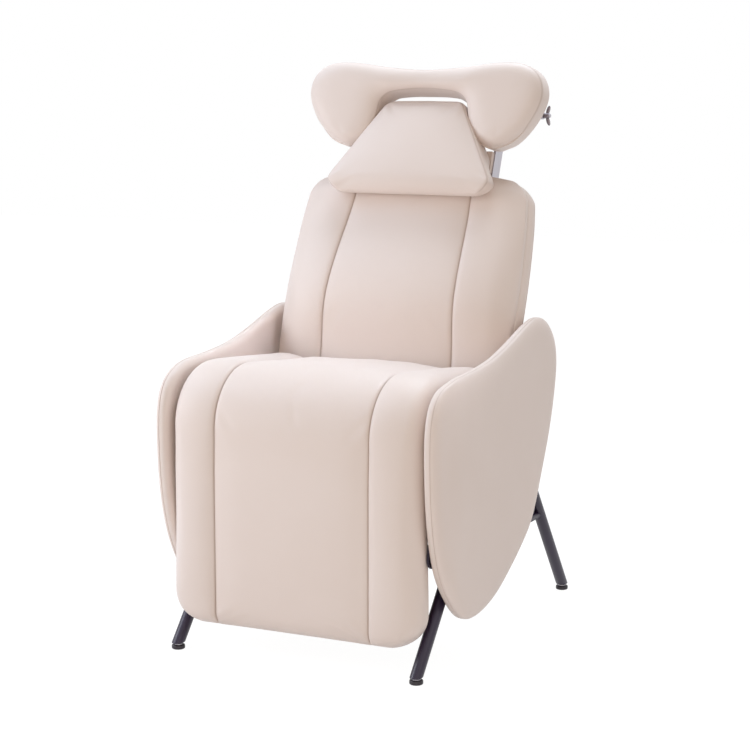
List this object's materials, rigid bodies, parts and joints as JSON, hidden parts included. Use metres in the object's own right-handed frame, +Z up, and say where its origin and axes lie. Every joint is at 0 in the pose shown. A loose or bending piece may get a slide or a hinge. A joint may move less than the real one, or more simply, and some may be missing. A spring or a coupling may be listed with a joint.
{
  "type": "reclining treatment chair",
  "caption": "Padded faux-leather recliner for lash treatment: arch headrest, neck pillow, tilting back, waterfall seat and leg rest, petal side panels, splayed tube legs.",
  "frame": {"origin": "on the floor, at the middle of the chair's length and width", "axes": "+Z up, the sitter faces -Y, the sitter's left is +X"},
  "size_m": [0.6322, 0.8084, 1.1695],
  "materials": {
    "faux_leather": "satin",
    "black_steel": "satin",
    "bright_steel": "satin",
    "plywood": "matte",
    "black_plastic": "satin"
  },
  "bodies": {
    "base": {"back_hinge_plate_left": "black_steel", "back_hinge_plate_right": "black_steel", "drive_saddle": "black_steel", "drive_tube": "bright_steel", "drive_unit": "black_plastic", "front_bearer": "plywood", "front_cross_tube": "black_steel", "front_leg_left": "black_steel", "front_leg_right": "black_steel", "knee_former": "black_steel", "knee_hinge_plate_left": "black_steel", "knee_hinge_plate_right": "black_steel", "panel_bracket_left": "black_steel", "panel_bracket_right": "black_steel", "power_socket": "black_plastic", "rear_bearer": "plywood", "rear_cross_tube": "black_steel", "rear_leg_left": "black_steel", "rear_leg_right": "black_steel", "seat_deck": "plywood", "seat_pad": "faux_leather", "side_panel_left": "faux_leather", "side_panel_right": "faux_leather", "stretcher_left": "black_steel", "stretcher_right": "black_steel", "top_rail_left": "black_steel", "top_rail_right": "black_steel"},
    "leg_rest": {"knee_shaft": "black_steel", "leg_arm_left": "black_steel", "leg_arm_right": "black_steel", "leg_crossbar": "black_steel", "leg_board": "plywood", "leg_pad": "faux_leather"},
    "back": {"crank_tube": "black_steel", "back_upright_left": "bright_steel", "back_upright_right": "bright_steel", "back_board": "plywood", "back_pad": "faux_leather", "back_shell": "faux_leather"},
    "headrest_carrier": {"post_left": "bright_steel", "post_right": "bright_steel", "tilt_axle": "bright_steel", "clamp_sleeve_left": "bright_steel", "clamp_sleeve_right": "bright_steel", "pillow_board": "faux_leather", "neck_pillow": "faux_leather"},
    "headrest": {"head_pad": "faux_leather", "head_board": "faux_leather", "head_bracket_left": "bright_steel", "head_bracket_right": "bright_steel"},
    "drive_rod": {"drive_rod": "bright_steel"},
    "drag_link_left": {"drag_link_left": "black_steel"},
    "wing_nut_left": {"wing_nut_left": "bright_steel"},
    "front_glide_left": {"front_glide_left": "black_plastic"},
    "rear_glide_left": {"rear_glide_left": "black_plastic"},
    "drag_link_right": {"drag_link_right": "black_steel"},
    "wing_nut_right": {"wing_nut_right": "bright_steel"},
    "front_glide_right": {"front_glide_right": "black_plastic"},
    "rear_glide_right": {"rear_glide_right": "black_plastic"}
  },
  "joints": [
    {"name": "back_recline", "type": "hinge", "parent": "base", "child": "back", "pos_m": [0, 0.03, 0.46], "axis": [-1, 0, 0], "range_deg": [0, 48]},
    {"name": "leg_lift", "type": "hinge", "parent": "base", "child": "leg_rest", "pos_m": [0, -0.277, 0.455], "axis": [-1, 0, 0], "range_deg": [0, 72.01]},
    {"name": "drive_extension", "type": "slide", "parent": "base", "child": "drive_rod", "axis": [0, -1, 0], "range_m": [0, 0.07579]},
    {"name": "headrest_lift", "type": "slide", "parent": "back", "child": "headrest_carrier", "axis": [0, 0.3665, 0.9304], "range_m": [0, 0.08]},
    {"name": "headrest_tilt", "type": "hinge", "parent": "headrest_carrier", "child": "headrest", "pos_m": [0, 0.29268, 1.05729], "axis": [-1, 0, 0], "range_deg": [0, 35]},
    {"name": "drag_link_left_turn", "type": "hinge", "parent": "leg_rest", "child": "drag_link_left", "pos_m": [0.2413, -0.24056, 0.40484], "axis": [-1, 0, 0], "range_deg": [-72.01, 0]},
    {"name": "wing_nut_left_turn", "type": "hinge", "parent": "headrest_carrier", "child": "wing_nut_left", "pos_m": [0.242, 0.29268, 1.05729], "axis": [1, 0, 0], "continuous": true},
    {"name": "front_glide_left_turn", "type": "hinge", "parent": "base", "child": "front_glide_left", "pos_m": [0.265, -0.384, 0], "axis": [0, 0, 1], "continuous": true},
    {"name": "rear_glide_left_turn", "type": "hinge", "parent": "base", "child": "rear_glide_left", "pos_m": [0.265, 0.3885, 0], "axis": [0, 0, 1], "continuous": true},
    {"name": "drag_link_right_turn", "type": "hinge", "parent": "leg_rest", "child": "drag_link_right", "pos_m": [-0.2413, -0.24056, 0.40484], "axis": [-1, 0, 0], "range_deg": [-72.01, 0]},
    {"name": "wing_nut_right_turn", "type": "hinge", "parent": "headrest_carrier", "child": "wing_nut_right", "pos_m": [-0.242, 0.29268, 1.05729], "axis": [1, 0, 0], "continuous": true},
    {"name": "front_glide_right_turn", "type": "hinge", "parent": "base", "child": "front_glide_right", "pos_m": [-0.265, -0.384, 0], "axis": [0, 0, 1], "continuous": true},
    {"name": "rear_glide_right_turn", "type": "hinge", "parent": "base", "child": "rear_glide_right", "pos_m": [-0.265, 0.3885, 0], "axis": [0, 0, 1], "continuous": true}
  ],
  "couplings": [
    {"joint": "leg_lift", "follows": "back_recline", "ratio": 1.5},
    {"joint": "drive_extension", "follows": "back_recline", "m_per_rad": 0.090347},
    {"joint": "drag_link_left_turn", "follows": "back_recline", "ratio": -1.5},
    {"joint": "drag_link_right_turn", "follows": "back_recline", "ratio": -1.5}
  ]
}
